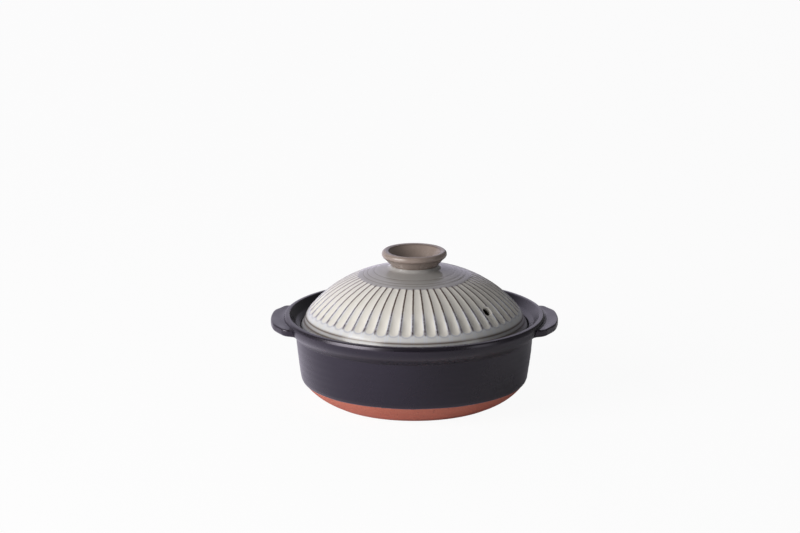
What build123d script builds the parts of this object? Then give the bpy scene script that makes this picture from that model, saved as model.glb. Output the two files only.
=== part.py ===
from build123d import *
import os
from math import asin, cos, degrees, radians, sin, sqrt, tan

os.makedirs("parts", exist_ok=True)

# A round donabe clay pot, in millimetres: a thrown bowl with a turned-out rim and two
# lug handles, and a domed lid with a band of scooped petals and a hollow ring knob.
# The origin is the centre of the foot on the table, +Z is up and the handles lie along X.
# An inset, overhang, taper or step goes inwards from the radius that comes before it, and a
# drop goes down from the top of its piece. Heights on the lid start at its lower edge.

# Bowl, outside
rim_radius = 130.6
rim_height = 87.2
rim_fall = 0.5
rim_land = 6.2
rim_edge_round = 1.2
flange_overhang = 9.2
flange_height = 15.4
flange_belly = 0.5
lip_round = 1.4
lip_step = 3.1
lip_rise = 2.5
crease_rise = 0.7
crease_depth = 1.0
wall_top_round = 1.5
wall_taper = 5.7
wall_swell = 0.35
heel_height = 23.9
heel_pull = 2.4
foot_inset = 30.2
foot_pull = 22.3
foot_rise_angle = 20.0
foot_ring_width = 13.0
foot_recess = 2.0
foot_recess_slope = 5.0

# Bowl, inside
wall_thickness = 8.0
floor_thickness = 8.5
cove_round = 34.0
seat_depth = 16.5
seat_width = 8.0
well_height = 6.1
gallery_run = 4.9
gallery_rise = 3.2
gallery_flare = 6.2

# Handles
handle_projection = 12.1
handle_drop = 4.0
handle_tip_thickness = 7.6
handle_root_thickness = 11.9
handle_root_depth = 18.6
handle_root_draw = 0.6
handle_heel_inset = 1.8
handle_heel_half_width = 47.6
handle_tip_bow = 2.9
handle_tip_half_width = 27.0
handle_heel_round = 9.0
handle_tip_round = 24.0
handle_top_round = 1.8
handle_bottom_round = 3.0
thumb_hollow_round = 14.0
thumb_hollow_depth = 0.9
thumb_hollow_offset = 1.9

# Lid, outside: its three arcs are shares of the radius of its edge
lid_edge_height = 4.8
lid_edge_round = 3.0
lid_foot_tuck = 1.1
lid_foot_round = 1.6
lower_line_inset = 3.0
lower_line_height = 10.3
upper_line_inset = 4.6
upper_line_height = 14.3
shoulder_end_inset = 5.0
shoulder_end_rise = 1.05
dome_end_inset = 9.6
dome_start_share = 0.4885
crown_round_share = 1.3925
dome_round_share = 1.0426
shoulder_round_share = 0.3757

# Lid, inside and its fit
lid_wall = 6.2
lid_mouth_inset = 7.6
skirt_inset = 13.6
lid_inner_round_share = 1.19
lid_play = 0.7
lid_rest_gap = 0.3

# Petals
petal_count = 52
petal_turn = -1.1
petal_start_gap = 0.6
gouge_round = 18.0
gouge_lift = 1.0

# Steam hole
steam_hole_diameter = 8.4
steam_hole_inset = 21.2
steam_hole_bearing = 52.0
steam_hole_elevation = 35.0

# Knob
knob_foot_radius = 23.2
knob_sink = 0.4
knob_height = 17.7
knob_crease_flare = 3.0
knob_crease_drop = 11.6
knob_crease_depth = 0.3
knob_roll_inset = 1.0
knob_roll_drop = 6.2
knob_lip_flare = 9.1
knob_lip_drop = 3.7
knob_crest_inset = 3.3
knob_mouth_inset = 6.6
knob_mouth_drop = 1.0
knob_mouth_round = 1.0
knob_hollow_depth = 12.0
knob_hollow_inset = 14.8
knob_hollow_round = 8.0
lute_width = 4.4
lute_height = 2.6
lute_lip = 0.5
lute_hollow = 0.8

# Every cut runs past the surface by one overrun.
overrun = 6.0


def on_circle(centre, radius, angle):
    """Point of a circle in the profile plane, its angle measured from +Z towards +X."""
    x, z = centre
    return (x + radius * sin(radians(angle)), z + radius * cos(radians(angle)))


def corner(sketch, point):
    """The vertex of a sketch that lies nearest to a point."""
    return sketch.vertices().sort_by_distance(Vector(*point))[0]


def edge_at(part, radius, height):
    """The circular edge of a turned part that passes through a radius and a height."""
    return part.edges().filter_by(GeomType.CIRCLE).sort_by_distance(Vector(radius, 0, height))[0]


# The bowl's outer form, from the foot to the rim. Every radius follows from the rim's.
lip_radius = rim_radius - flange_overhang
lip_height = rim_height - flange_height
wall_top_radius = lip_radius - lip_step
wall_top_height = lip_height - lip_rise
heel_radius = wall_top_radius - wall_taper
foot_radius = heel_radius - foot_inset
wall_top = (wall_top_radius, wall_top_height)
crease = (wall_top_radius - crease_depth, wall_top_height + crease_rise)
lip = (lip_radius, lip_height)
rim_outer = (rim_radius, rim_height - rim_fall)
rim_inner = (rim_radius - rim_land, rim_height)
recess_radius = foot_radius - foot_ring_width

with BuildPart() as bowl_blank:
    with BuildSketch(Plane.XZ) as blank_half:
        with BuildLine():
            foot = Polyline(
                (0, foot_recess),
                (recess_radius - foot_recess_slope, foot_recess),
                (recess_radius, 0),
                (foot_radius, 0),
            )
            wall = SagittaArc((heel_radius, heel_height), wall_top, -wall_swell)
            rise = Vector(cos(radians(foot_rise_angle)), sin(radians(foot_rise_angle)))
            Bezier(foot @ 1, foot @ 1 + rise * foot_pull, wall @ 0 - (wall % 0) * heel_pull, wall @ 0)
            Polyline(wall_top, crease, lip)
            SagittaArc(lip, rim_outer, -flange_belly)
            Polyline(rim_outer, rim_inner, (0, rim_height), (0, foot_recess))
        make_face()
        fillet(corner(blank_half, wall_top), wall_top_round)
        fillet(corner(blank_half, lip), lip_round)
        fillet(corner(blank_half, rim_outer), rim_edge_round)
    revolve(axis=Axis.Z)

# The bowl: its cavity, the seat for the lid and the gallery that leads down to the seat
seat_height = rim_height - seat_depth
gallery_radius = rim_radius - rim_land - gallery_flare
well_radius = gallery_radius - gallery_run
seat_edge = (well_radius - seat_width, seat_height)
gallery_foot = (well_radius, seat_height + well_height)
gallery_top = (gallery_radius, seat_height + well_height + gallery_rise)
floor_corner = (heel_radius - wall_thickness, foot_recess + floor_thickness)

with BuildPart() as pot_bowl:
    add(bowl_blank.part)
    with BuildSketch(Plane.XZ) as cavity_half:
        with BuildLine():
            Polyline(
                floor_corner,
                seat_edge,
                (well_radius, seat_height),
                gallery_foot,
                gallery_top,
                rim_inner,
                (rim_radius - rim_land, rim_height + overrun),
                (0, rim_height + overrun),
                (0, floor_corner[1]),
                close=True,
            )
        make_face()
        fillet(corner(cavity_half, floor_corner), cove_round)
    revolve(axis=Axis.Z, mode=Mode.SUBTRACT)
    fillet(edge_at(pot_bowl, *rim_inner), rim_edge_round)

pot_bowl.part.label = "pot_bowl"
export_step(pot_bowl.part, "parts/pot_bowl.step")

# The lug handles: a broad shelf on each side, hollowed a little for the thumb along the rim
handle_top = rim_height - handle_drop
handle_reach = rim_radius + handle_projection
handle_tip_radius = handle_reach - handle_tip_bow
handle_heel_radius = rim_radius - handle_heel_inset
handle_root_radius = rim_radius - handle_root_depth
handle_root_half_width = handle_heel_half_width - handle_root_draw
thumb_hollow_radius = rim_radius + thumb_hollow_offset
thumb_hollow_height = handle_top + thumb_hollow_round - thumb_hollow_depth

with BuildPart() as handle_right:
    with BuildSketch(Plane.XY.offset(handle_top - handle_root_thickness)) as handle_plan:
        with BuildLine():
            tip_left = (handle_tip_radius, handle_tip_half_width)
            tip_right = (handle_tip_radius, -handle_tip_half_width)
            ThreePointArc(tip_left, (handle_reach, 0), tip_right)
            Polyline(
                tip_right,
                (handle_heel_radius, -handle_heel_half_width),
                (handle_root_radius, -handle_root_half_width),
                (handle_root_radius, handle_root_half_width),
                (handle_heel_radius, handle_heel_half_width),
                tip_left,
            )
        make_face()
        for side in (1, -1):
            tip_corner = (handle_tip_radius, side * handle_tip_half_width)
            heel_corner = (handle_heel_radius, side * handle_heel_half_width)
            fillet(corner(handle_plan, tip_corner), handle_tip_round)
            fillet(corner(handle_plan, heel_corner), handle_heel_round)
    extrude(amount=handle_root_thickness)
    with BuildSketch(Plane.XZ):
        with BuildLine():
            Polyline(
                (handle_root_radius, handle_top),
                (handle_reach, handle_top),
                (handle_reach, handle_top - handle_tip_thickness),
                (handle_root_radius, handle_top - handle_root_thickness),
                close=True,
            )
        make_face()
    revolve(axis=Axis.Z, mode=Mode.INTERSECT)
    fillet(handle_right.faces().sort_by(Axis.Z)[-1].edges(), handle_top_round)
    fillet(handle_right.faces().sort_by(Axis.Z)[0].edges(), handle_bottom_round)
    with BuildSketch(Plane.XZ):
        with Locations((thumb_hollow_radius, thumb_hollow_height)):
            Circle(thumb_hollow_round)
    revolve(axis=Axis.Z, mode=Mode.SUBTRACT)
    add(bowl_blank.part, mode=Mode.SUBTRACT)

with BuildPart() as handle_left:
    mirror(handle_right.part, about=Plane.YZ)

handle_right.part.label = "handle_right"
export_step(handle_right.part, "parts/handle_right.step")
handle_left.part.label = "handle_left"
export_step(handle_left.part, "parts/handle_left.step")

# The lid stands in the well of the bowl. Its edge is drawn up from the seat.
lid_base = seat_height + lid_rest_gap
lid_edge_radius = well_radius - lid_play
upper_line = (lid_edge_radius - upper_line_inset, lid_base + upper_line_height)
lower_line = (lid_edge_radius - lower_line_inset, lid_base + lower_line_height)
lid_edge = (lid_edge_radius, lid_base + lid_edge_height)
lid_foot = (lid_edge_radius - lid_foot_tuck, lid_base)
lid_mouth = (lid_edge_radius - lid_mouth_inset, lid_base)

# Above the edge the outline is three arcs, tangent to each other: crown, dome and shoulder.
# They are set out from the axis, and the height at which the shoulder ends places them.
crown_round = lid_edge_radius * crown_round_share
dome_round = lid_edge_radius * dome_round_share
shoulder_round = lid_edge_radius * shoulder_round_share
dome_start_radius = lid_edge_radius * dome_start_share
dome_end_radius = lid_edge_radius - dome_end_inset
shoulder_end_radius = lid_edge_radius - shoulder_end_inset
crown_angle = degrees(asin(dome_start_radius / crown_round))
dome_offset = on_circle((0, 0), crown_round - dome_round, crown_angle)
dome_angle = degrees(asin((dome_end_radius - dome_offset[0]) / dome_round))
shoulder_offset = on_circle(dome_offset, dome_round - shoulder_round, dome_angle)
shoulder_angle = degrees(asin((shoulder_end_radius - shoulder_offset[0]) / shoulder_round))
shoulder_end_offset = on_circle(shoulder_offset, shoulder_round, shoulder_angle)
crown_centre = (0, upper_line[1] + shoulder_end_rise - shoulder_end_offset[1])
dome_centre = (dome_offset[0], crown_centre[1] + dome_offset[1])
crown_top = crown_centre[1] + crown_round

# Inside, one sphere and a straight skirt; on top, the landing for the knob and its luting
lid_inner_round = lid_edge_radius * lid_inner_round_share
skirt_radius = lid_edge_radius - skirt_inset
inner_crown = (0, crown_top - lid_wall)
skirt_angle = degrees(asin(skirt_radius / lid_inner_round))
lute_radius = knob_foot_radius + lute_width
lute_angle = degrees(asin(lute_radius / crown_round))
knob_foot_angle = degrees(asin(knob_foot_radius / crown_round))
knob_seat = on_circle(crown_centre, crown_round, knob_foot_angle)[1] - knob_sink
skirt = on_circle((0, inner_crown[1] - lid_inner_round), lid_inner_round, skirt_angle)

# One scoop of the gouge: a round groove along the dome that deepens as the petals widen,
# closed at both ends by the gouge's own roundness
half_pitch = 180 / petal_count
petal_start_radius = dome_start_radius + petal_start_gap
petal_start_angle = degrees(asin((petal_start_radius - dome_centre[0]) / dome_round))
start_half_width = petal_start_radius * tan(radians(half_pitch))
end_half_width = dome_end_radius * tan(radians(half_pitch))
start_depth = gouge_round - sqrt(gouge_round**2 - start_half_width**2)
end_depth = gouge_round - sqrt(gouge_round**2 - end_half_width**2)
scoop_start_angle = petal_start_angle + degrees(start_half_width / dome_round)
scoop_end_angle = dome_angle - degrees(end_half_width / dome_round)
scoop_start = on_circle(dome_centre, dome_round + gouge_round - start_depth, scoop_start_angle)
scoop_end = on_circle(dome_centre, dome_round + gouge_round - end_depth, scoop_end_angle)

with BuildPart() as scoop:
    with BuildLine(Plane.XZ) as scoop_path:
        RadiusArc(scoop_start, scoop_end, dome_round + gouge_round)
    path_edge = scoop_path.edges()[0]
    with BuildSketch(Plane(origin=path_edge @ 0, z_dir=path_edge % 0)):
        Circle(gouge_round)
    sweep(path=path_edge)
    with Locations(path_edge @ 0, path_edge @ 1):
        Sphere(gouge_round)
    with Locations(Plane((dome_centre[0], 0, dome_centre[1]), z_dir=(0, 1, 0))):
        Cylinder(dome_round + gouge_lift, 2 * (end_half_width + gouge_lift), mode=Mode.INTERSECT)

# The dome: a turned shell with a flat landing for the knob, a collar of luting clay round
# the knob's foot, the petals scooped out of it and the steam hole through one of them
with BuildPart() as lid_dome:
    with BuildSketch(Plane.XZ) as dome_half:
        with BuildLine():
            crown_start = on_circle(crown_centre, crown_round, lute_angle)
            start_slope = (cos(radians(lute_angle)), -sin(radians(lute_angle)))
            crown = JernArc(crown_start, start_slope, crown_round, lute_angle - crown_angle)
            dome = JernArc(crown @ 1, crown % 1, dome_round, crown_angle - dome_angle)
            shoulder = JernArc(dome @ 1, dome % 1, shoulder_round, dome_angle - shoulder_angle)
            Polyline(shoulder @ 1, upper_line, lower_line, lid_edge, lid_foot, lid_mouth, skirt)
            JernArc(inner_crown, (1, 0), lid_inner_round, -skirt_angle)
            lute_top = (knob_foot_radius + lute_lip, knob_seat + knob_sink + lute_height)
            SagittaArc(lute_top, crown_start, lute_hollow)
            Polyline(
                lute_top,
                (knob_foot_radius, knob_seat + knob_sink + lute_height),
                (knob_foot_radius, knob_seat),
                (0, knob_seat),
                inner_crown,
            )
        make_face()
        fillet(corner(dome_half, lid_edge), lid_edge_round)
        fillet(corner(dome_half, lid_foot), lid_foot_round)
    revolve(axis=Axis.Z)
    with PolarLocations(0, petal_count, start_angle=petal_turn + half_pitch - 90):
        add(scoop.part, mode=Mode.SUBTRACT)
    steam_hole_radius = lid_edge_radius - steam_hole_inset
    hole_angle = degrees(asin((steam_hole_radius - dome_centre[0]) / dome_round))
    hole_height = on_circle(dome_centre, dome_round, hole_angle)[1]
    bearing = radians(steam_hole_bearing)
    elevation = radians(steam_hole_elevation)
    hole_plane = Plane(
        origin=(steam_hole_radius * sin(bearing), -steam_hole_radius * cos(bearing), hole_height),
        z_dir=(cos(elevation) * sin(bearing), -cos(elevation) * cos(bearing), sin(elevation)),
    )
    with BuildSketch(hole_plane):
        Circle(steam_hole_diameter / 2)
    extrude(amount=lid_wall + overrun, both=True, mode=Mode.SUBTRACT)

lid_dome.part.label = "lid_dome"
export_step(lid_dome.part, "parts/lid_dome.step")

# The knob: a turned ring foot that flares up to a rolled lip, hollow on top
knob_top = knob_seat + knob_height
knob_lip_radius = knob_foot_radius + knob_lip_flare
knob_foot = (knob_foot_radius, knob_seat)
knob_stem = (knob_foot_radius, knob_seat + knob_sink + lute_height)
knob_crease = (knob_foot_radius + knob_crease_flare, knob_top - knob_crease_drop)
knob_roll = (knob_lip_radius - knob_roll_inset, knob_top - knob_roll_drop)
knob_lip = (knob_lip_radius, knob_top - knob_lip_drop)
knob_crest = (knob_lip_radius - knob_crest_inset, knob_top)
knob_mouth = (knob_lip_radius - knob_mouth_inset, knob_top - knob_mouth_drop)
knob_floor = (knob_lip_radius - knob_hollow_inset, knob_top - knob_hollow_depth)

with BuildPart() as lid_knob:
    with BuildSketch(Plane.XZ) as knob_half:
        with BuildLine():
            Polyline((0, knob_floor[1]), (0, knob_seat), knob_foot, knob_stem)
            SagittaArc(knob_stem, knob_crease, knob_crease_depth)
            Line(knob_crease, knob_roll)
            ThreePointArc(knob_roll, knob_lip, knob_crest)
            Polyline(knob_crest, knob_mouth, knob_floor, (0, knob_floor[1]))
        make_face()
        fillet(corner(knob_half, knob_mouth), knob_mouth_round)
        fillet(corner(knob_half, knob_floor), knob_hollow_round)
    revolve(axis=Axis.Z)

lid_knob.part.label = "lid_knob"
export_step(lid_knob.part, "parts/lid_knob.step")
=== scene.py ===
from math import acos, asin, ceil, cos, degrees, pi, radians, sin, sqrt, tan

import bpy
import numpy as np
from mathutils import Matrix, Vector


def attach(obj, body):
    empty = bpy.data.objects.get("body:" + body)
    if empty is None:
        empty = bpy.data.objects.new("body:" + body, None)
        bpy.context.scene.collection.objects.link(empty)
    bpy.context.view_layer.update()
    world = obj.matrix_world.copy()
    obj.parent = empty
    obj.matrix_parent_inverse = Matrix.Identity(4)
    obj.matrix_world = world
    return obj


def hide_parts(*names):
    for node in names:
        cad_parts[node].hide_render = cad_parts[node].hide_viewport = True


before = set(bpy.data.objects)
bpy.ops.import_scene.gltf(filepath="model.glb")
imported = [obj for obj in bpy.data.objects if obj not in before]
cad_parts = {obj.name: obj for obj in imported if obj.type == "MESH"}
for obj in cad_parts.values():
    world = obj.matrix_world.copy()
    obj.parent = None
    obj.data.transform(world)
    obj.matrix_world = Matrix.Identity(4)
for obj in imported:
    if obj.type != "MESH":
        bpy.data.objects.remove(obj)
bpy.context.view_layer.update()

# A donabe clay pot and its lid. Sizes are in millimetres up to the point where a mesh is made.
# A place on a turned form is its radius, its height and its azimuth, which starts at the front
# (-Y) and turns towards +X. A path runs along a form's outline with the clay on its left.
MM = 0.001
TURN = 2 * pi
FACET = 12  # degrees, at most, between two points of a rounded corner
TINY = 1e-9


# Outlines


def on_circle(centre, radius, angle):
    """Point of a circle in the plane of radius and height, its angle from straight up."""
    return (centre[0] + radius * sin(radians(angle)), centre[1] + radius * cos(radians(angle)))


def arc(centre, radius, start, end, step):
    """Points along an arc, a step apart."""
    count = max(2, ceil(radians(abs(end - start)) * radius / step))
    return [on_circle(centre, radius, angle) for angle in np.linspace(start, end, count + 1)]


def bezier(a, b, c, d, count):
    """Points along a cubic curve."""
    a, b, c, d = (np.array(p, float) for p in (a, b, c, d))
    t = np.linspace(0, 1, count + 1)[:, None]
    curve = (1 - t) ** 3 * a + 3 * t * (1 - t) ** 2 * b + 3 * t**2 * (1 - t) * c + t**3 * d
    return curve.tolist()


def bowed(a, b, bow, count):
    """Points from a to b along a shallow curve that stands out to the right by bow."""
    a, b = np.array(a, float), np.array(b, float)
    side = np.array((b[1] - a[1], a[0] - b[0])) / np.linalg.norm(b - a)
    t = np.linspace(0, 1, count + 1)[:, None]
    return (a + (b - a) * t + side * bow * 4 * t * (1 - t)).tolist()


def through(a, b, c, count):
    """Points from a to c along the circle through a, b and c, anticlockwise."""
    a, b, c = (complex(*p) for p in (a, b, c))
    bend = (c - a) / (b - a)
    centre = a + (b - a) * (abs(bend) ** 2 - bend) / (bend.conjugate() - bend)
    turn = np.angle((c - centre) / (a - centre))
    spots = [centre + (a - centre) * np.exp(1j * turn * k / count) for k in range(count + 1)]
    return [(spot.real, spot.imag) for spot in spots]


def rounded(corners, step):
    """A path through corners (x, y) or (x, y, round), divided into runs of up to a step."""
    path = [np.array(corners[0][:2], float)]
    for before, here, after in zip(corners, corners[1:], corners[2:]):
        point = np.array(here[:2], float)
        if len(here) == 2:
            path.append(point)
            continue
        back, on = np.array(before[:2], float) - point, np.array(after[:2], float) - point
        back, on = back / np.linalg.norm(back), on / np.linalg.norm(on)
        half = acos(np.clip(back @ on, -1, 1)) / 2
        centre = point + (back + on) / np.linalg.norm(back + on) * here[2] / sin(half)
        first = point + back * here[2] / tan(half) - centre
        last = point + on * here[2] / tan(half) - centre
        turn = pi - 2 * half
        for share in np.linspace(0, 1, max(2, ceil(degrees(turn) / FACET)) + 1):
            mixed = sin((1 - share) * turn) * first + sin(share * turn) * last
            path.append(centre + mixed / sin(turn))
    path.append(np.array(corners[-1][:2], float))
    fine = [path[0]]
    for a, b in zip(path, path[1:]):
        count = max(1, ceil(np.linalg.norm(b - a) / step))
        fine += [a + (b - a) * k / count for k in range(1, count + 1)]
    return np.array(fine)


def runs(path):
    """How far along the path each of its points is."""
    return np.concatenate(([0], np.cumsum(np.linalg.norm(np.diff(path, axis=0), axis=1))))


def denser(path, places):
    """The path with more points, at these distances along it."""
    run = runs(path)
    every = np.unique(np.round(np.concatenate((run, places)), 3))
    return np.stack([np.interp(every, run, path[:, k]) for k in (0, 1)], axis=1)


def outward(path):
    """The direction out of the clay at each point of a path."""
    along = np.gradient(path, axis=0)
    along /= np.maximum(np.linalg.norm(along, axis=1, keepdims=True), TINY)
    return np.stack((along[:, 1], -along[:, 0]), axis=1)


def smooth(value, low, high):
    """0 below low, 1 above high and an even change between them."""
    t = np.clip((value - low) / (high - low), 0, 1)
    return t * t * (3 - 2 * t)


def wander(azimuth, height, seed, turns=5):
    """A smooth random value, mostly from -1 to 1, that closes on itself round the axis. It is a
    sum of waves with up to this many turns, whose phases drift with the height."""
    waves, drift = 7, 0.05
    draw = np.random.default_rng(seed)
    total = 0
    for _ in range(waves):
        phase = draw.uniform(0, TURN) + draw.normal(0, drift) * height
        total = total + np.sin(draw.integers(1, turns + 1) * azimuth + phase)
    return total / sqrt(waves)


# Meshes


def turned_points(azimuth, radius, height):
    """Points of rings, in rows, from radii and heights that may differ round the axis."""
    radius, height = radius + 0 * azimuth, height + 0 * azimuth
    return np.stack((radius * np.sin(azimuth), -radius * np.cos(azimuth), height), axis=-1)


def band_faces(rows, columns):
    """Faces between rows of points, where each row closes on itself."""
    row = np.arange(rows - 1)[:, None] * columns
    here = np.arange(columns)[None, :]
    there = (here + 1) % columns
    faces = np.stack((row + here, row + there, row + columns + there, row + columns + here), -1)
    return faces.reshape(-1, 4).tolist()


def fan_faces(pole, first, columns, last_ring):
    """Faces from a pole to the ring of points beside it."""
    if last_ring:
        return [(first + k, first + (k + 1) % columns, pole) for k in range(columns)]
    return [(first + (k + 1) % columns, first + k, pole) for k in range(columns)]


def make(name, points, faces, marks, material):
    """A smooth mesh piece with its marks, numbers at each point that the materials read."""
    mesh = bpy.data.meshes.new(name)
    mesh.from_pydata((np.asarray(points) * MM).tolist(), [], faces)
    for mark, values in marks.items():
        layer = mesh.attributes.new(mark, "FLOAT", "POINT")
        layer.data.foreach_set("value", np.asarray(values, np.float32).ravel())
    mesh.shade_smooth()
    mesh.materials.append(material)
    piece = bpy.data.objects.new(name, mesh)
    bpy.context.scene.collection.objects.link(piece)
    return piece


def turned(name, path, azimuth, material, shape, marks):
    """A turned piece. Its path starts and ends on the axis; shape gives how far the surface
    stands out at an azimuth and a distance along the path, and marks gives its marks there."""
    run = runs(path)[1:-1, None]
    ways = outward(path)[1:-1]
    radius, height = path[1:-1, 0:1], path[1:-1, 1:2]
    stands = shape(azimuth, run)
    rows = turned_points(azimuth, radius + ways[:, 0:1] * stands, height + ways[:, 1:2] * stands)
    count, columns = rows.shape[:2]
    points = np.concatenate((rows.reshape(-1, 3), [(0, 0, path[0][1]), (0, 0, path[-1][1])]))
    faces = band_faces(count, columns)
    faces += fan_faces(count * columns, 0, columns, False)
    faces += fan_faces(count * columns + 1, (count - 1) * columns, columns, True)
    values = {}
    for mark, value in marks(azimuth, run).items():
        spread = value + 0 * azimuth
        values[mark] = np.concatenate((spread.ravel(), [spread[0, 0], spread[-1, 0]]))
    return make(name, points, faces, values, material)


def bends(path, sharp):
    """How much each point of a path lies on an outer bend: 0 where flat, 1 where sharper."""
    run = runs(path)
    along = np.gradient(path, axis=0)
    heading = np.unwrap(np.arctan2(along[:, 1], along[:, 0]))
    turn = np.gradient(heading, run + np.arange(len(run)) * TINY)
    return np.clip(turn / sharp, 0, 1)


# Materials


class Paint:
    """A material and a short way to write its nodes."""

    def __init__(self, name):
        self.material = bpy.data.materials.new(name)
        self.material.use_nodes = True
        self.tree = self.material.node_tree
        self.shader = self.tree.nodes["Principled BSDF"]
        self.place = self.tree.nodes.new("ShaderNodeTexCoord").outputs["Object"]

    def feed(self, socket, value):
        if isinstance(value, bpy.types.NodeSocket):
            self.tree.links.new(value, socket)
        else:
            socket.default_value = value

    def node(self, kind, inputs, output=0, **settings):
        made = self.tree.nodes.new("ShaderNode" + kind)
        for name, value in settings.items():
            setattr(made, name, value)
        for socket, value in inputs.items():
            self.feed(made.inputs[socket], value)
        return made.outputs[output]

    def mark(self, name):
        """A mark of the mesh, a number at each of its points."""
        return self.node("Attribute", {}, "Fac", attribute_name=name)

    def noise(self, size, detail=2.0, roughness=0.5):
        """Noise with blobs of about this many millimetres."""
        scale = 1 / (size * MM * 2)
        inputs = {"Vector": self.place, "Scale": scale, "Detail": detail, "Roughness": roughness}
        return self.node("TexNoise", inputs)

    def maths(self, operation, a, b=0.0):
        return self.node("Math", {0: a, 1: b}, operation=operation)

    def step(self, value, low, high, start=0.0, end=1.0):
        """start below low, end above high and an even change between them."""
        inputs = {"Value": value, "From Min": low, "From Max": high, "To Min": start, "To Max": end}
        return self.node("MapRange", inputs, interpolation_type="SMOOTHSTEP")

    def hump(self, value, middle, inner, outer):
        """1 within inner of the middle, 0 beyond outer."""
        away = self.maths("ABSOLUTE", self.maths("SUBTRACT", value, middle))
        return self.step(away, inner, outer, 1.0, 0.0)

    def mix(self, share, a, b):
        """Colour a where the share is 0 and b where it is 1."""
        a, b = (c if isinstance(c, bpy.types.NodeSocket) else (*c, 1.0) for c in (a, b))
        return self.node("Mix", {0: share, 6: a, 7: b}, 2, data_type="RGBA")

    def over(self, share, most, a, b):
        """Colour b over a, with at most this much of it where the share is 1."""
        return self.mix(self.maths("MULTIPLY", share, most), a, b)

    def blend(self, share, a, b):
        """Number a where the share is 0 and b where it is 1."""
        return self.node("Mix", {0: share, 2: a, 3: b})

    def ragged(self, value, noise, amount):
        """The value, with this much of the noise added."""
        return self.maths("ADD", value, self.maths("MULTIPLY", noise, amount))

    def bump(self, height, distance, strength):
        inputs = {"Height": height, "Distance": distance * MM, "Strength": strength}
        return self.node("Bump", inputs)

    def finish(self, **sockets):
        """Feeds the shader's sockets and gives the material."""
        for name, value in sockets.items():
            if not isinstance(value, (bpy.types.NodeSocket, float, int)):
                value = (*value, 1.0)
            self.feed(self.shader.inputs[name.replace("_", " ")], value)
        return self.material


def dark_glaze():
    """Black glaze with a violet cast, and bare red clay below its edge."""
    paint = Paint("dark_glaze")
    violet_black = (0.0042, 0.0033, 0.0068), (0.0062, 0.0050, 0.0100)
    speck_grey, thin_brown = (0.017, 0.015, 0.024), (0.022, 0.017, 0.022)
    bead_blue_and_highlight = (0.055, 0.06, 0.09)
    red_clay = (0.46, 0.125, 0.078), (0.56, 0.18, 0.122)
    pale_grain, dark_grog = (0.66, 0.27, 0.20), (0.26, 0.08, 0.055)
    bead_below, clay_edge, clay_roughness = -0.7, (0.15, 0.35), 0.85

    bare, thin = paint.mark("bare"), paint.mark("thin")
    cloud, speck = paint.noise(14, 4), paint.noise(0.55, 3, 0.6)
    glaze = paint.mix(cloud, *violet_black)
    glaze = paint.mix(paint.step(speck, 0.6, 0.78), glaze, speck_grey)
    glaze = paint.over(thin, 0.5, glaze, thin_brown)
    # A lighter blue line along the glaze's edge bead: partly the bead's own glaze colour, partly a
    # painted highlight.
    glaze = paint.over(paint.hump(bare, bead_below, 0.3, 0.8), 0.6, glaze, bead_blue_and_highlight)

    grain, blush = paint.noise(0.7, 3, 0.65), paint.noise(22, 3)
    clay = paint.mix(blush, *red_clay)
    clay = paint.mix(paint.step(grain, 0.52, 0.8), clay, pale_grain)
    clay = paint.mix(paint.step(paint.noise(1.1, 2), 0.66, 0.74), clay, dark_grog)

    is_bare = paint.step(paint.ragged(bare, paint.noise(2.2, 2), 0.5), *clay_edge)
    skin = paint.bump(paint.noise(5.0, 2), 0.02, 0.06)
    rough = paint.bump(grain, 0.22, 1.0)
    gloss = paint.step(cloud, 0.3, 0.7, 0.26, 0.31)
    return paint.finish(
        Base_Color=paint.mix(is_bare, glaze, clay),
        Roughness=paint.blend(is_bare, gloss, clay_roughness),
        Normal=paint.node("Mix", {0: is_bare, 4: skin, 5: rough}, 1, data_type="VECTOR"),
        Specular_Tint=(0.92, 0.86, 1.0),
        Specular_IOR_Level=0.62,
    )


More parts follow.
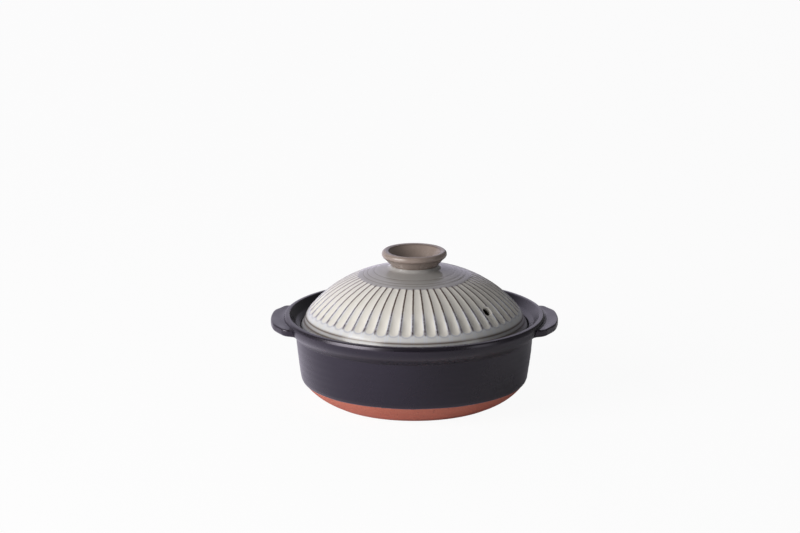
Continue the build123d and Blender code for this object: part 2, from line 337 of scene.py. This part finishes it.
def lid_glaze():
    """Ash glaze: cream in the petals, brown where it runs thin on the ridges, blue-white where
    it pools beside and below them, and grey on the crown.

    It reads these marks, the first four in millimetres: edge, how far inside a petal; ridge,
    how far from a ridge; above, how far above a petal's foot; out, how far from the axis;
    bore, which grows down the steam hole, where the colour darkens with thin glaze and painted
    shade; break, the sharp lines; and bare, the bare clay."""
    paint = Paint("lid_glaze")
    petal_cream = (0.68, 0.65, 0.60), (0.75, 0.725, 0.675)
    crown_grey = (0.31, 0.295, 0.285), (0.37, 0.36, 0.35)
    band_grey = (0.60, 0.60, 0.60), (0.68, 0.675, 0.67)
    pooled_grey = (0.40, 0.38, 0.38), (0.60, 0.61, 0.66)
    edge_shade, beside_blue = (0.36, 0.35, 0.38), (0.62, 0.65, 0.74)
    cusp_brown = (0.20, 0.165, 0.15)
    broken_line, line_brown = ((0.065, 0.05, 0.058), (0.27, 0.25, 0.29)), (0.085, 0.052, 0.04)
    groove_brown, break_brown = (0.13, 0.10, 0.085), (0.085, 0.05, 0.03)
    bore_thin_glaze_and_shade = (0.02, 0.014, 0.01)
    biscuit = (0.36, 0.22, 0.15), (0.46, 0.30, 0.21)
    clay_roughness = 0.85

    edge, out, ridge = paint.mark("edge"), paint.mark("out"), paint.mark("ridge")
    above, bore = paint.mark("above"), paint.mark("bore")
    tear = paint.maths("SUBTRACT", paint.noise(0.8, 3, 0.6), 0.5)
    edge = paint.ragged(edge, tear, 0.6)
    torn = paint.ragged(ridge, tear, 0.7)
    out = paint.ragged(out, tear, 0.5)
    cloud = paint.noise(9, 4)

    cream, crown = paint.mix(cloud, *petal_cream), paint.mix(cloud, *crown_grey)
    land = paint.mix(paint.step(out, 54, 66), crown, paint.mix(cloud, *band_grey))
    pooled = paint.mix(paint.step(out, 56, 92), *pooled_grey)
    colour = paint.mix(paint.step(edge, -2.2, 0.2), land, pooled)
    colour = paint.over(paint.hump(edge, -0.55, 0.1, 1.3), 0.4, colour, edge_shade)
    colour = paint.mix(paint.step(edge, 0.0, 0.9), colour, cream)

    lower = paint.step(above, 16, 26, 1.0, 0.0)
    beside = paint.hump(torn, 1.15, 0.25, 0.9)
    beside = paint.maths("MULTIPLY", beside, paint.maths("MULTIPLY", lower, 0.55))
    colour = paint.mix(beside, colour, beside_blue)

    cusp = paint.maths("MULTIPLY", paint.hump(torn, 0, 0.3, 2.6), paint.step(above, -5.0, -2.6))
    cusp = paint.maths("MULTIPLY", cusp, paint.step(above, 0.5, 3.5, 1.0, 0.0))
    colour = paint.over(cusp, 0.75, colour, cusp_brown)

    mottle = paint.step(paint.noise(0.9, 2), 0.42, 0.6)
    line_colour = paint.mix(lower, line_brown, paint.mix(mottle, *broken_line))
    between = paint.step(above, -4.0, -1.5)
    between = paint.maths("MULTIPLY", between, paint.step(out, 54.0, 56.5))
    line = paint.maths("MULTIPLY", paint.hump(torn, 0, 0.5, 1.05), between)
    colour = paint.over(line, 0.95, colour, line_colour)

    for radius, _, _ in ring_grooves:
        colour = paint.over(paint.hump(out, radius, 0.12, 0.7), 0.5, colour, groove_brown)
    colour = paint.mix(paint.mark("break"), colour, break_brown)
    # Down the steam hole the colour goes nearly black: partly thin brown glaze, mostly painted
    # shade deeper in.
    colour = paint.mix(paint.step(bore, *bore_shade_depths), colour, bore_thin_glaze_and_shade)

    bare = paint.step(paint.mark("bare"), 0.3, 0.7)
    colour = paint.mix(bare, colour, paint.mix(paint.noise(0.8, 3), *biscuit))
    gloss = paint.step(out, 52, 62, 0.1, 0.2)
    normal = paint.bump(paint.noise(1.8, 2), 0.04, 0.3)
    roughness = paint.blend(bare, gloss, clay_roughness)
    return paint.finish(Base_Color=colour, Roughness=roughness, Normal=normal)


def knob_glaze():
    """Thin brown-grey glaze, darker where it breaks on an edge and at the foot's joint, with
    painted shade under the lip.
    """
    paint = Paint("knob_glaze")
    brown_grey, pale_speck = ((0.26, 0.205, 0.178), (0.32, 0.26, 0.23)), (0.39, 0.33, 0.29)
    dark_line_and_shade_brown = (0.085, 0.055, 0.04)
    cloud, speck = paint.noise(7, 4), paint.noise(0.6, 3, 0.6)
    colour = paint.mix(cloud, *brown_grey)
    colour = paint.mix(paint.step(speck, 0.55, 0.8), colour, pale_speck)
    # Darker brown at the foot's joint and the mouth's edge, and painted shade under the lip.
    colour = paint.mix(paint.mark("dark_lines_and_shade"), colour, dark_line_and_shade_brown)
    normal = paint.bump(paint.noise(1.6, 2), 0.04, 0.3)
    gloss = paint.step(cloud, 0.3, 0.7, 0.2, 0.28)
    return paint.finish(Base_Color=colour, Roughness=gloss, Normal=normal)


def floor_paint():
    """Matt white paper that the camera sees a little brighter than the lamps make it. To glossy
    rays its left side glows brighter still, with a violet tint: a painted reflection."""
    paint = Paint("floor")
    paper, lifted = ((0.88, 0.88, 0.88), (0.9, 0.9, 0.9)), 0.94
    white, painted_reflection_violet = (1.0, 1.0, 1.0), (0.91, 0.85, 1.0)
    reflection_bright_to, reflection_dull_from = -0.22, 0.16
    sheet = paint.mix(paint.noise(2.5, 2), *paper)
    paint.finish(Base_Color=sheet, Roughness=0.95, Specular_IOR_Level=0.0)
    tree = paint.tree
    path = tree.nodes.new("ShaderNodeLightPath")
    glow = tree.nodes.new("ShaderNodeEmission")
    tint = paint.mix(path.outputs["Is Glossy Ray"], white, painted_reflection_violet)
    tree.links.new(tint, glow.inputs["Color"])
    blend = tree.nodes.new("ShaderNodeMixShader")
    seen = paint.maths("MULTIPLY", path.outputs["Is Camera Ray"], lifted)
    # On its left the floor glows for glossy rays only: a painted reflection, seen as a violet sheen
    # on the glaze's left side.
    across = paint.node("SeparateXYZ", {"Vector": paint.place})
    mirrored = paint.step(across, reflection_bright_to, reflection_dull_from, 1.0, 0.0)
    mirrored = paint.maths("MULTIPLY", path.outputs["Is Glossy Ray"], mirrored)
    seen = paint.maths("MAXIMUM", seen, mirrored)
    tree.links.new(seen, blend.inputs[0])
    tree.links.new(paint.shader.outputs[0], blend.inputs[1])
    tree.links.new(glow.outputs[0], blend.inputs[2])
    tree.links.new(blend.outputs[0], tree.nodes["Material Output"].inputs["Surface"])
    return paint.material


# Camera: the photograph's view, from the front and 15.5 degrees up, with a long lens. The
# middle of the pot lies this many pixels right of and below the middle of the picture.

elevation = radians(15.5)
distance = 4.5
middle = Vector((0, 0, 0.070))
pixels_per_metre = 1005.8
frame_width = 800
sensor = 36.0
middle_right, middle_down = 14.45, 63.2

scene = bpy.context.scene
camera = bpy.data.objects.new("camera", bpy.data.cameras.new("camera"))
scene.collection.objects.link(camera)
scene.camera = camera
camera.data.sensor_width = sensor
camera.data.lens = pixels_per_metre * distance * sensor / frame_width
camera.data.clip_end = 50
camera.location = middle + distance * Vector((0, -cos(elevation), sin(elevation)))
up = Vector((0, sin(elevation), cos(elevation)))
aim = middle + (Vector((-1, 0, 0)) * middle_right + up * middle_down) / pixels_per_metre
camera.rotation_euler = (aim - camera.location).to_track_quat("-Z", "Y").to_euler()

# Bowl. A third number in a corner of a path is its round.

foot_hollow, foot_inner, foot_outer, foot_round = 2.0, 69.4, 82.4, 1.2
heel = (112.6, 23.9)
wall_top = (117.8, 66.2)
lip = (124.6, 72.9)
rim = (129.8, 82.8)
well_radius, well_top = 113.3, 76.8
seat_height, seat_inner = 70.7, 105.3
inside_floor = 10.5
glaze_height = 20.2
glaze_depth = 0.35
glazed = -5.0  # what the mark "bare" is on the glaze

bowl_path = rounded(
    [
        (0, foot_hollow),
        (foot_inner - 5, foot_hollow, 2.0),
        (foot_inner, 0.0, foot_round),
        (foot_outer, 0.0, foot_round),
        *bezier((84.5, 0.75), (103.4, 7.6), (112.3, 21.5), heel, 16),
        *bowed(heel, wall_top, 0.35, 20)[1:-1],
        (*wall_top, 1.2),
        (*lip, 1.3),
        *bowed(lip, rim, 0.9, 6)[1:-1],
        (*rim, 3.4),
        (128.7, 86.8, 2.2),
        (124.4, 87.2, 1.8),
        (118.2, 80.0, 1.6),
        (well_radius, well_top, 1.6),
        (well_radius, seat_height, 0.8),
        (seat_inner, seat_height, 1.2),
        (104.6, inside_floor, 34.0),
        (0, inside_floor),
    ],
    step=1.7,
)

# Closer points where the glaze ends
bowl_run = runs(bowl_path)
heel_points = (bowl_path[:, 0] > 84) & (bowl_path[:, 1] < 60) & (bowl_run < 170)
glaze_run = np.interp(glaze_height, bowl_path[heel_points, 1], bowl_run[heel_points])
bowl_path = denser(bowl_path, glaze_run + np.arange(-1.8, 1.9, 0.3))
bowl_run = runs(bowl_path)
bowl_bends = bends(bowl_path, sharp=0.45)


def below_glaze(azimuth, run):
    """How far a place is below the glaze's uneven edge, along the path."""
    return glaze_run - run + 0.25 * wander(azimuth, 0 * run, seed=5, turns=24)


def bowl_stands(azimuth, run):
    """Faint throwing rings, an uneven wall, and the step and the bead where the glaze ends."""
    ring_depth, uneven_depth, bead_depth = 0.05, 0.16, 0.14
    height = np.interp(run, bowl_run, bowl_path[:, 1])
    rings = ring_depth * np.sin(height * 0.9 + 0.7 * np.sin(height * 0.31))
    rings = rings * smooth(height, 24, 30) * smooth(height, 66, 58)
    uneven = uneven_depth * wander(azimuth, height, seed=3)
    below = below_glaze(azimuth, run)
    step = -glaze_depth * smooth(below, -0.3, 0.5)
    bead = bead_depth * np.exp(-(((below + 1.0) / 0.6) ** 2))
    foot_stays_flat = smooth(height, 0.2, 2.5)
    return (rings + uneven + step + bead) * foot_stays_flat


def bowl_marks(azimuth, run):
    """bare: how far below the glaze's edge, with the seat bare too; thin: the outer bends."""
    radius = np.interp(run, bowl_run, bowl_path[:, 0])
    height = np.interp(run, bowl_run, bowl_path[:, 1])
    seat = (abs(height - seat_height) < 1.0) & (radius > seat_inner + 0.1) & (radius < 111.0)
    bare = np.where(seat, 2.0, np.maximum(below_glaze(azimuth, run), glazed))
    return {"bare": bare, "thin": np.interp(run, bowl_run, bowl_bends)}


bowl_columns = 224
dark = dark_glaze()
round_about = np.arange(bowl_columns) * TURN / bowl_columns
bowl = turned("bowl", bowl_path, round_about, dark, bowl_stands, bowl_marks)
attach(bowl, "pot")
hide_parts("pot_bowl")

# Handles

handle_top, handle_bottom = 83.2, 74.4
handle_tip, handle_half_width = 139.74, 27.0
handle_corner = (handle_tip, handle_half_width)
handle_heel = (128.8, 47.6)
handle_root = (107.0, 46.9)
root_radius_above, root_radius_below = 119.0, 119.6
top_round, bottom_round = 1.5, 3.0
dish_depth, dish_out, dish_width = 0.9, 132.5, 4.5
fillet_height = 1.2
fillet_above_out, fillet_above_width = 129.6, 0.9
fillet_below_out, fillet_below_width = 124.6, 1.4
sink_out, sink_slope = 122.5, 1.25
underside_out, underside_slope = 124, 0.067


def mirrored(point):
    """The same place on the front half of the handle."""
    return (point[0], -point[1])


handle_outline = rounded(
    [
        mirrored(handle_root),
        (*mirrored(handle_heel), 9.0),
        (*mirrored(handle_corner), 24.0),
        *bowed(mirrored(handle_corner), handle_corner, 2.9, 10)[1:-1],
        (*handle_corner, 24.0),
        (*handle_heel, 9.0),
        handle_root,
    ],
    step=1.2,
)


def handle_row(x, y, inward):
    """A row of places, from the root over the top, round the edge and back below: x, y, whether
    it is below, and how far a rounded edge lowers or raises it. Then the mark "thin" of each."""
    bearing = np.arctan2(y, x) * 0.91
    root_way = np.array((cos(bearing), sin(bearing)))
    root_above, root_below = root_way * root_radius_above, root_way * root_radius_below
    edge = np.array((x, y))
    shoulder, hip = edge + inward * top_round, edge + inward * bottom_round
    row, thin = [], []
    for share in np.linspace(0, 1, 14)[:-1]:
        row.append((*(root_above + (shoulder - root_above) * share), 0, 0))
        thin.append(max(0, 1 - np.linalg.norm(row[-1][:2] - edge) / 5))
    for turn in np.linspace(0, pi / 2, 6):
        place = edge + inward * top_round * (1 - sin(turn))
        row.append((*place, 0, top_round * (cos(turn) - 1)))
        thin.append(1)
    for turn in np.linspace(0, pi / 2, 7):
        place = edge + inward * bottom_round * (1 - cos(turn))
        row.append((*place, 1, bottom_round * (1 - sin(turn))))
        thin.append(0.6 * (1 - turn / (pi / 2)))
    for share in np.linspace(0, 1, 11)[1:]:
        row.append((*(hip + (root_below - hip) * share), 1, 0))
        thin.append(0)
    return row, thin


def handle_points():
    """Rows of points, one row to each place along the outline, and their marks "thin". The top
    is dished for the thumb, and above and below a fillet of clay joins it to the rim."""
    both = [handle_row(x, y, -out) for (x, y), out in zip(handle_outline, outward(handle_outline))]
    rows, thin = (np.array(part) for part in zip(*both))
    x, y, is_below, lift = (rows[..., k] for k in range(4))
    out = np.hypot(x, y)
    dish = dish_depth * np.exp(-(((out - dish_out) / dish_width) ** 2))
    fillet = fillet_height * np.exp(-np.maximum(out - fillet_above_out, 0) / fillet_above_width)
    above = handle_top - dish + fillet
    above = above - sink_slope * np.maximum(sink_out - out, 0)
    fillet = fillet_height * np.exp(-np.maximum(out - fillet_below_out, 0) / fillet_below_width)
    below = handle_bottom + (out - underside_out) * underside_slope - fillet
    height = np.where(is_below > 0.5, below, above) + lift
    uneven = 0.22 * np.sin(y * 0.13 + 1) * np.sin(x * 0.21)
    return np.stack((x, y, height + uneven), -1), thin


def handle(name, side, node):
    """One handle: side is 1 for the right one and -1 for its mirror image."""
    rows, thin = handle_points()
    rows = rows * (side, 1, 1)
    count, columns = rows.shape[:2]
    faces = band_faces(count, columns)
    faces += [tuple(range(columns))[::-1], tuple(range((count - 1) * columns, count * columns))]
    if side > 0:
        faces = [tuple(face)[::-1] for face in faces]
    marks = {"bare": np.full(thin.size, glazed), "thin": thin}
    piece = make(name, rows.reshape(-1, 3), faces, marks, dark)
    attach(piece, "pot")
    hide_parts(node)


handle("lug_right", 1, "handle_right")
handle("lug_left", -1, "handle_left")

# Dome: its outline inside and out, the petals and the steam hole

lid_base = 71.0
crown_round, dome_round, shoulder_round = 156.8, 117.4, 42.3
dome_start, dome_end, shoulder_end = 55.0, 103.0, 107.6
crown_top = 136.43
lid_wall = 6.2
inner_round = 134.0
skirt_radius = 99.0
luting = 27.6
landing = 134.3

crown_centre = (0, crown_top - crown_round)
crown_angle = degrees(asin(dome_start / crown_round))
dome_centre = on_circle(crown_centre, crown_round - dome_round, crown_angle)
dome_angle = degrees(asin((dome_end - dome_centre[0]) / dome_round))
shoulder_centre = on_circle(dome_centre, dome_round - shoulder_round, dome_angle)
shoulder_angle = degrees(asin((shoulder_end - shoulder_centre[0]) / shoulder_round))
luting_angle = degrees(asin(luting / crown_round))
inner_centre = (0, crown_top - lid_wall - inner_round)
skirt_angle = degrees(asin(skirt_radius / inner_round))
line_b, line_a = (109.6, 81.3), (108.0, 85.3)

near_hole = (34.0, 44.5)  # degrees of the inside that need closer points for the hole
inner_path = rounded(
    [
        *arc(inner_centre, inner_round, 0, near_hole[0], 4.5),
        *arc(inner_centre, inner_round, *near_hole, 1.0)[1:],
        *arc(inner_centre, inner_round, near_hole[1], skirt_angle, 2.5)[1:],
        (105.0, lid_base + 0.3, 1.2),
        (111.4, lid_base, 1.8),
        (112.7, 75.9, 3.0),
        (*line_b, 0.9),
        *bowed(line_b, line_a, -0.25, 3)[1:-1],
        (*line_a, 0.9),
        *arc(shoulder_centre, shoulder_round, shoulder_angle, dome_angle, 0.9),
    ],
    step=4.6,
)
outer_path = np.array(
    arc(dome_centre, dome_round, dome_angle, crown_angle, 0.95)[1:]
    + arc(crown_centre, crown_round, crown_angle, luting_angle, 0.9)[1:]
    + [(26.6, landing), (25.7, 134.8), (25.0, 135.4), (24.5, 136.1), (24.15, 136.9)]
    + [(23.6, 137.25), (22.9, 137.3), (22.4, 136.8), (22.3, 134.4), (12.0, landing), (0, landing)]
)
dome_path = np.concatenate((inner_path, outer_path))
dome_run = runs(dome_path)
dome_ways = outward(dome_path)
petals_end_run = dome_run[len(inner_path) - 1]
petals_run = radians(dome_angle - crown_angle) * dome_round

petal_count = 52
pitch = TURN / petal_count
petal_draw = np.random.default_rng(21)
first_ridge, ridge_play, end_play = radians(-1.1), radians(0.22), 0.7
ridge = first_ridge + pitch * np.arange(petal_count + 1)
ridge[:-1] += petal_draw.uniform(-1, 1, petal_count) * ridge_play
ridge[-1] = ridge[0] + TURN
petal_top = petal_draw.uniform(-end_play, end_play, petal_count)
petal_foot = petal_draw.uniform(-end_play, end_play, petal_count)
petal_places = (0, 0.035, 0.10, 0.21, 0.38, 0.62, 0.79, 0.90, 0.965)
dome_azimuth = np.concatenate(
    [ridge[k] + (ridge[k + 1] - ridge[k]) * np.array(petal_places) for k in range(petal_count)]
)
ridge_half_width, ridge_softness = 0.3, 0.04
foot_half, top_half = 5.3, 2.95
foot_height, top_gap = 2.8, 3.4
gouge_round = 15.5
spoon_depth, spoon_height, spoon_length = 1.15, 7.0, 8.5
far_mark = 9


def petal_carving(azimuth, run):
    """How deep the gouge cuts at places of the dome, and their marks: how far inside a petal a
    place is, how far it is from the nearest ridge and how far above the petal's foot."""
    azimuth, run = np.broadcast_arrays(azimuth, run)
    turned_in = ridge[0] + np.mod(azimuth - ridge[0], TURN)
    which = np.clip(np.searchsorted(ridge, turned_in, side="right") - 1, 0, petal_count - 1)
    share = (turned_in - ridge[which]) / (ridge[which + 1] - ridge[which])
    radius = np.interp(run, dome_run, dome_path[:, 0])
    pitch_here = (ridge[which + 1] - ridge[which]) * radius
    across = (share - 0.5) * pitch_here
    up = run - petals_end_run
    foot = foot_height + petal_foot[which]
    top = petals_run - top_gap + petal_top[which]
    half = np.clip(pitch_here / 2 - ridge_half_width, top_half, foot_half)
    away = np.hypot(across, np.maximum(foot - up, 0) + np.maximum(up - top, 0))
    spoon = 1 + spoon_depth * np.exp(-(((up - foot - spoon_height) / spoon_length) ** 2))
    depth = (half**2 - away**2) / (2 * gouge_round) * spoon
    depth = (depth + np.sqrt(depth**2 + ridge_softness**2)) / 2
    far = (up < -4.5) | (up > petals_run + 2)
    marks = {
        "edge": np.where(far, -far_mark, half - away),
        "ridge": pitch_here / 2 - abs(across),
        "above": np.clip(up - foot, -far_mark, 60),
    }
    return np.where(far, 0, depth), marks


# The grooves on the crown: radius, width and depth
ring_grooves = ((40.2, 0.9, 0.22), (46.6, 0.8, 0.2), (50.8, 0.8, 0.2))


def dome_places(azimuth, run):
    """Points of the dome at azimuths and distances along its path, with petals and grooves."""
    azimuth, run = np.broadcast_arrays(azimuth, run)
    radius = np.interp(run, dome_run, dome_path[:, 0])
    height = np.interp(run, dome_run, dome_path[:, 1])
    way_out = np.interp(run, dome_run, dome_ways[:, 0])
    way_up = np.interp(run, dome_run, dome_ways[:, 1])
    depth, _ = petal_carving(azimuth, run)
    stands = -depth
    on_top = run > petals_end_run
    for at, wide, deep in ring_grooves:
        stands = stands - on_top * deep * np.exp(-(((radius - at) / wide) ** 2))
    stands = stands + 0.12 * wander(azimuth, run, seed=8) * smooth(radius, 27, 33)
    return turned_points(azimuth, radius + way_out * stands, height + way_up * stands)


# The steam hole: it runs along hole_way, and hole_side and hole_up are square to that. Its mouth
# rounds over for lead_in, and over the rest of it the mark "bore" grows by bore_mark.
hole_azimuth = radians(52.0)
hole_out = 91.4
hole_rise = radians(35.0)
hole_radius = 4.2
mouth_radius, exit_radius = 5.6, hole_radius * 1.25
lead_in, bore_mark = 1.7, 5.0
# Depths down the hole, by the mark bore, over which its colour darkens: thin glaze and painted
# shade.
bore_shade_depths = (2.2, 5.0)
bore_shares = (0.2, 0.4, 0.6, 0.8, 1.0)
patch_half, patch_loops = 7, 5
hole_column = int(np.argmin(abs(dome_azimuth - hole_azimuth)))
hole_angle = degrees(asin((hole_out - dome_centre[0]) / dome_round))
hole_height = on_circle(dome_centre, dome_round, hole_angle)[1]
hole_middle = np.array((hole_out * sin(hole_azimuth), -hole_out * cos(hole_azimuth), hole_height))
hole_way = np.array(
    (cos(hole_rise) * sin(hole_azimuth), -cos(hole_rise) * cos(hole_azimuth), sin(hole_rise))
)
hole_side = np.array((cos(hole_azimuth), sin(hole_azimuth), 0))
hole_up = np.cross(hole_way, hole_side)


def nearest_row(rows, out):
    """Of these rows of the dome's grid, the one that is nearest to this far from the axis."""
    return int(np.argmin(np.where(rows, abs(dome_path[1:-1, 0] - out), np.inf)))


def patch_places(row, column, uphill):
    """Rows and columns round a patch of the grid, anticlockwise as seen from outside the dome.
    The rows run uphill on the outside and downhill on the inside."""
    low, high = row - patch_half, row + patch_half
    left, right = column - patch_half, column + patch_half
    bottom, top, step = (low, high, 1) if uphill else (high, low, -1)
    places = [(bottom, c) for c in range(left, right)]
    places += [(r, right) for r in range(bottom, top, step)]
    places += [(top, c) for c in range(right, left, -1)]
    places += [(r, left) for r in range(top, bottom, -step)]
    return places


class Dome:
    """The dome's grid of points and its marks. Patches of its faces give way to the hole."""

    def __init__(self):
        rows = dome_places(dome_azimuth, dome_run[1:-1, None])
        self.count, self.columns = rows.shape[:2]
        self.points = [tuple(p) for p in rows.reshape(-1, 3)]
        self.poles = len(self.points)
        self.points += [(0, 0, dome_path[0][1]), (0, 0, dome_path[-1][1])]
        _, marks = petal_carving(dome_azimuth, dome_run[1:-1, None])
        marks["out"] = dome_path[1:-1, 0:1] + 0 * dome_azimuth
        marks["bore"] = 0 * marks["out"]
        pole = {"edge": -far_mark, "ridge": far_mark, "above": -far_mark, "out": 0, "bore": 0}
        self.marks = {name: [*marks[name].ravel(), pole[name], pole[name]] for name in marks}
        self.keep = np.ones((self.count - 1, self.columns), bool)
        self.more = []

    def add(self, new, values, bore):
        """A new ring of points, as indexes. bore is how far down the hole it counts as."""
        start = len(self.points)
        self.points.extend(tuple(p) for p in new)
        values = {"out": np.full(len(new), hole_out), "bore": np.full(len(new), bore), **values}
        for name, value in values.items():
            self.marks[name] += list(value)
        return list(range(start, start + len(new)))

    def join(self, a, b):
        """Faces between two rings."""
        size = len(a)
        self.more += [(a[k], a[(k + 1) % size], b[(k + 1) % size], b[k]) for k in range(size)]

    def open_patch(self, row, out, radius, uphill):
        """Takes a patch away round the hole and fills it with rings that end in a circle. Gives
        that last ring and the angle at which each of its points lies round the hole."""
        way = 1 if uphill else -1
        places = patch_places(row, hole_column, uphill)
        patch_rows = slice(row - patch_half, row + patch_half)
        self.keep[patch_rows, hole_column - patch_half : hole_column + patch_half] = False
        middle_run = dome_run[row + 1]
        run = np.array([dome_run[r + 1] for r, _ in places])
        azimuth = np.array([dome_azimuth[c] for _, c in places])
        across = (azimuth - hole_azimuth) * out
        along = (run - middle_run) * way
        angle = np.arctan2(along, across)
        ring = [r * self.columns + c for r, c in places]
        for k in range(1, patch_loops + 1):
            share = k / patch_loops
            a = across + (radius * np.cos(angle) - across) * share
            b = along + (radius * np.sin(angle) - along) * share
            spot = (hole_azimuth + a / out, middle_run + b * way)
            _, values = petal_carving(*spot)
            inner = self.add(dome_places(*spot), values, 0.0)
            self.join(*((ring, inner) if uphill else (inner, ring)))
            ring = inner
        return ring, angle

    def ring_points(self, ring):
        return np.array([self.points[k] for k in ring])

    def faces(self):
        grid = np.array(band_faces(self.count, self.columns))
        grid = grid.reshape(self.count - 1, self.columns, 4)[self.keep].tolist()
        last_ring = (self.count - 1) * self.columns
        inner_pole = fan_faces(self.poles, 0, self.columns, False)
        outer_pole = fan_faces(self.poles + 1, last_ring, self.columns, True)
        return grid + self.more + inner_pole + outer_pole


def steam_hole(form):
    """Lets the hole into the dome: its mouth rounds over into a straight bore to the inside."""
    row = np.arange(1, len(dome_path) - 1)
    outer_row = nearest_row(row >= len(inner_path), hole_out)
    inwards = np.array([hole_middle - hole_way * t for t in np.arange(0, 14, 0.01)])
    from_centre = np.linalg.norm(inwards - (0, 0, inner_centre[1]), axis=1)
    inner_middle = inwards[int(np.argmax(from_centre < inner_round))]
    inner_out = np.hypot(inner_middle[0], inner_middle[1])
    inner_row = nearest_row(row < len(inner_path) - 8, inner_out)
    ring, angle = form.open_patch(outer_row, hole_out, mouth_radius, uphill=True)
    exit_ring, _ = form.open_patch(inner_row, inner_out, exit_radius, uphill=False)

    wall = hole_radius * (np.cos(angle)[:, None] * hole_side + np.sin(angle)[:, None] * hole_up)
    knee_azimuth = hole_azimuth + hole_radius * np.cos(angle) / hole_out
    knee_run = dome_run[outer_row + 1] + hole_radius * np.sin(angle) * 1.03
    first, knee = form.ring_points(ring), dome_places(knee_azimuth, knee_run)
    deep = (knee - hole_middle) @ hole_way - lead_in
    last = hole_middle + wall + deep[:, None] * hole_way
    in_petal = {"edge": 2.0, "ridge": 4.0, "above": 9.0}
    in_petal = {name: np.full(len(ring), value) for name, value in in_petal.items()}
    for share in bore_shares:
        bent = (1 - share) ** 2 * first + 2 * share * (1 - share) * knee + share**2 * last
        lower_ring = form.add(bent, in_petal, lead_in * share)
        form.join(ring, lower_ring)
        ring = lower_ring
    exit_deep = (form.ring_points(exit_ring) - hole_middle) @ hole_way + 1.0
    for share in bore_shares:
        depth = deep + (exit_deep - deep) * share
        bored = hole_middle + wall + depth[:, None] * hole_way
        lower_ring = form.add(bored, in_petal, lead_in + bore_mark * share)
        form.join(ring, lower_ring)
        ring = lower_ring
    form.join(ring, exit_ring)


dome = Dome()
steam_hole(dome)
spots = np.array(dome.points)
away = np.hypot(spots[:, 0], spots[:, 1])
bare_below, bare_beyond = 72.6, 103
low_edge = (spots[:, 2] < bare_below) & (away > bare_beyond)
dome.marks["bare"] = np.where(low_edge, 1.0, 0.0)
line_width = 1.25
near_lines = [
    np.exp(-((np.hypot(away - out, spots[:, 2] - height) / line_width) ** 2))
    for out, height in (line_a, line_b)
]
dome.marks["break"] = np.maximum(*near_lines) * 0.9
lid = make("dome", dome.points, dome.faces(), dome.marks, lid_glaze())
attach(lid, "lid")
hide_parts("lid_dome")

# Knob

knob_stem, knob_waist, knob_roll = (23.3, 137.0), (26.2, 140.4), (31.3, 145.6)
knob_lip, knob_crest = (32.2, 148.1), (29.0, 151.7)
knob_foot, knob_mouth = (24.0, 137.2), (26.0, 150.9)
knob_base, knob_floor = 134.32, 140.0
knob_columns = 208
knob_path = rounded(
    [
        (0, knob_base),
        (22.9, knob_base, 0.4),
        knob_stem,
        *bowed(knob_stem, knob_waist, -0.35, 5)[1:],
        *bowed(knob_waist, knob_roll, -0.2, 5)[1:-1],
        *through(knob_roll, knob_lip, knob_crest, 16),
        (26.0, 151.1, 1.2),
        (17.5, knob_floor, 8.0),
        (0, knob_floor),
    ],
    step=0.8,
)
knob_run = runs(knob_path)


def knob_stands(azimuth, run):
    """Turning marks and a slightly uneven lip."""
    height = np.interp(run, knob_run, knob_path[:, 1])
    rings = 0.035 * np.sin(run * 2.6 + np.sin(run))
    return (rings + 0.14 * wander(azimuth, run, seed=14, turns=3)) * smooth(height, 138, 142)


def knob_marks(azimuth, run):
    """The knob's dark marks: the line at the foot, the glaze break at the edge of the mouth, and
    painted shade under the lip.
    """
    radius = np.interp(run, knob_run, knob_path[:, 0])
    height = np.interp(run, knob_run, knob_path[:, 1])

    def near(place, width):
        return np.exp(-((np.hypot(radius - place[0], height - place[1]) / width) ** 2))

    dark_lines_and_shade = 0.7 * near(knob_foot, 1.2) + 0.6 * near(knob_mouth, 0.8) + 0.45 * near(knob_roll, 1.2)
    return {"dark_lines_and_shade": dark_lines_and_shade}


knob_about = np.arange(knob_columns) * TURN / knob_columns
knob = turned("knob", knob_path, knob_about, knob_glaze(), knob_stands, knob_marks)
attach(knob, "lid")
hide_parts("lid_knob")

# Floor, light and background

half_floor = 7.0
floor_gap = 0.0002
floor_mesh = bpy.data.meshes.new("floor")
corners = [(x * half_floor, y * half_floor, 0) for x, y in ((-1, -1), (1, -1), (1, 1), (-1, 1))]
floor_mesh.from_pydata(corners, [], [(0, 1, 2, 3)])
floor_mesh.materials.append(floor_paint())
floor = bpy.data.objects.new("floor", floor_mesh)
floor.location.z = -floor_gap
scene.collection.objects.link(floor)


lamps_face = Vector((0, 0, 0.09))


def lamp(name, place, size, power, colour):
    """A square soft lamp that faces the lid."""
    light = bpy.data.lights.new(name, "AREA")
    light.size = size
    light.energy = power
    light.color = colour
    body = bpy.data.objects.new(name, light)
    body.location = place
    scene.collection.objects.link(body)
    body.rotation_euler = (lamps_face - body.location).to_track_quat("-Z", "Y").to_euler()


lamp("key", (-2.15, -1.35, 1.0), 1.9, 88, (1, 0.985, 0.97))
lamp("fill", (2.3, -1.3, 0.8), 1.0, 5, (1, 1, 1))
lamp("back", (-0.75, 2.6, 1.35), 3.5, 27, (0.87, 0.82, 1.0))

# The camera sees a white world, which lights the pot only a little
world = bpy.data.worlds.new("world")
scene.world = world
world.use_nodes = True
sky = world.node_tree
sky_light = sky.nodes["Background"]
sky_light.inputs["Color"].default_value = (1, 1, 1, 1)
sky_light.inputs["Strength"].default_value = 0.12
sky_seen = sky.nodes.new("ShaderNodeBackground")
sky_seen.inputs["Color"].default_value = (1, 1, 1, 1)
sky_seen.inputs["Strength"].default_value = 1.0
sky_path = sky.nodes.new("ShaderNodeLightPath")
sky_blend = sky.nodes.new("ShaderNodeMixShader")
sky.links.new(sky_path.outputs["Is Camera Ray"], sky_blend.inputs[0])
sky.links.new(sky_light.outputs[0], sky_blend.inputs[1])
sky.links.new(sky_seen.outputs[0], sky_blend.inputs[2])
sky.links.new(sky_blend.outputs[0], sky.nodes["World Output"].inputs["Surface"])

scene.view_settings.view_transform = "Standard"
